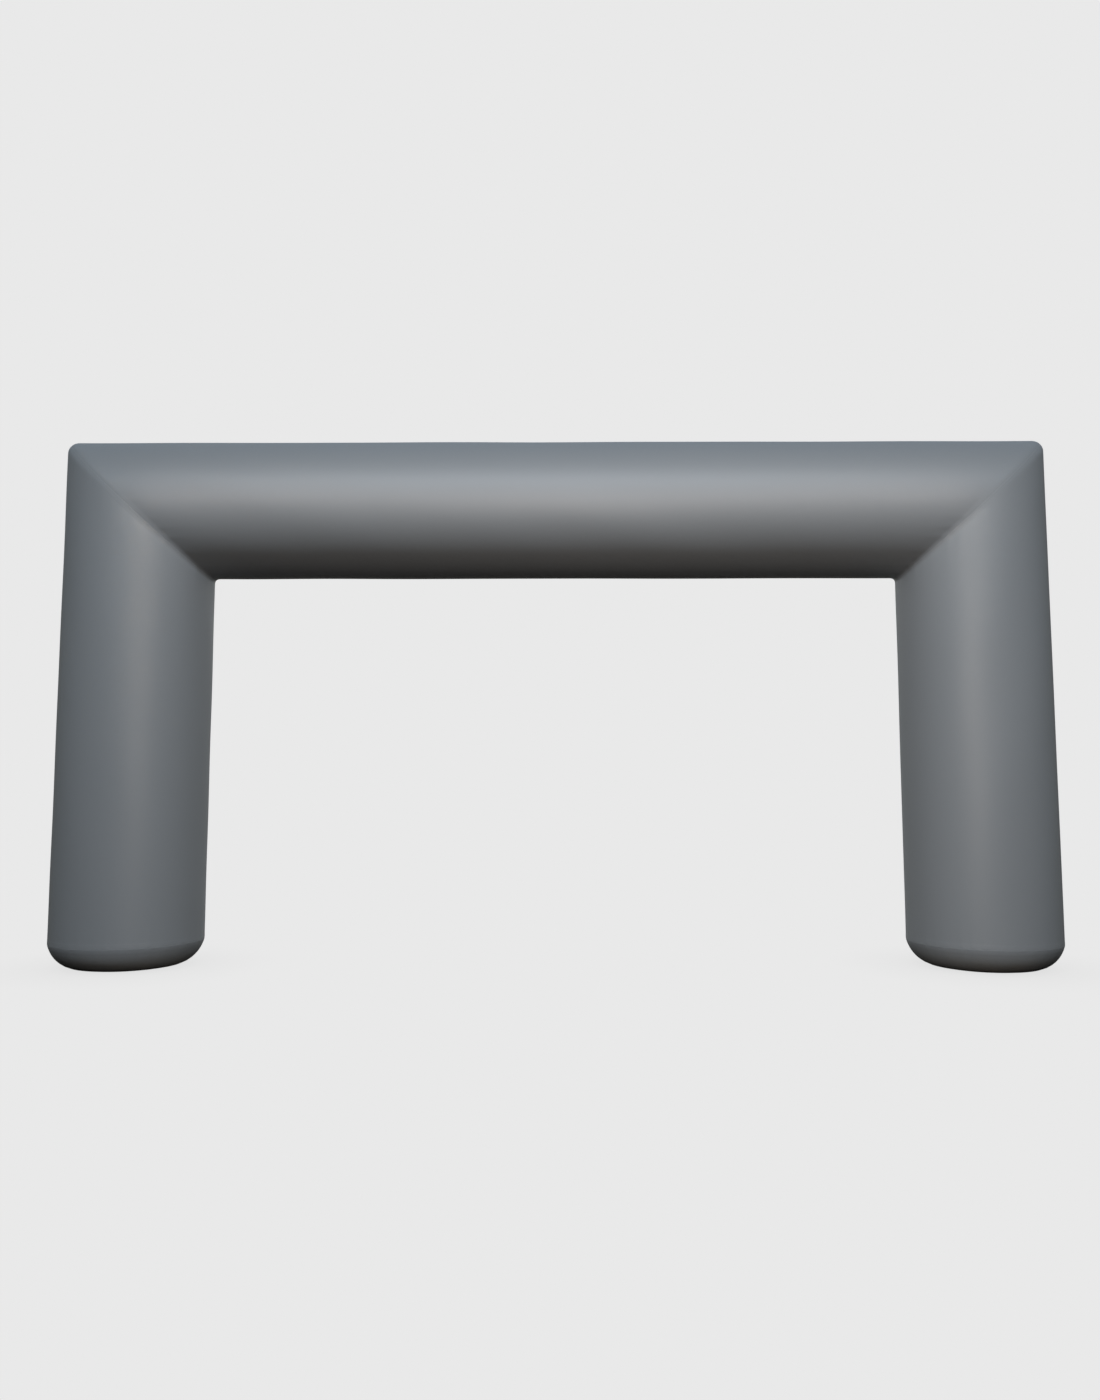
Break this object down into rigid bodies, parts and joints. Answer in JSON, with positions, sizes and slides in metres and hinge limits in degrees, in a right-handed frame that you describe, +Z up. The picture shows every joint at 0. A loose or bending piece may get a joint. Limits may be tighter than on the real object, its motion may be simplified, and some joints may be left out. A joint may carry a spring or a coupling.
{
  "type": "inflatable arch",
  "caption": "Free-standing square-cornered inflatable arch of grey coated cloth: round upright legs on rolled feet, mitred to a cross beam, open to walk through.",
  "frame": {"origin": "on the ground, midway between the two feet, in the middle of the arch's depth", "axes": "+X runs across the arch from the left foot to the right foot, as seen from the front; +Y runs through the passage, from front to back; +Z is up"},
  "size_m": [6.1, 0.892, 3.235],
  "materials": {
    "beam_cloth": "satin coated woven cloth, air-filled and taut",
    "leg_cloth": "satin coated woven cloth, air-filled and taut",
    "foot_cloth": "satin coated woven cloth, slightly soiled near the ground"
  },
  "bodies": {
    "root": {"beam": "beam_cloth", "leg_left": "leg_cloth", "leg_right": "leg_cloth", "foot_left": "foot_cloth", "foot_right": "foot_cloth"}
  },
  "joints": []
}
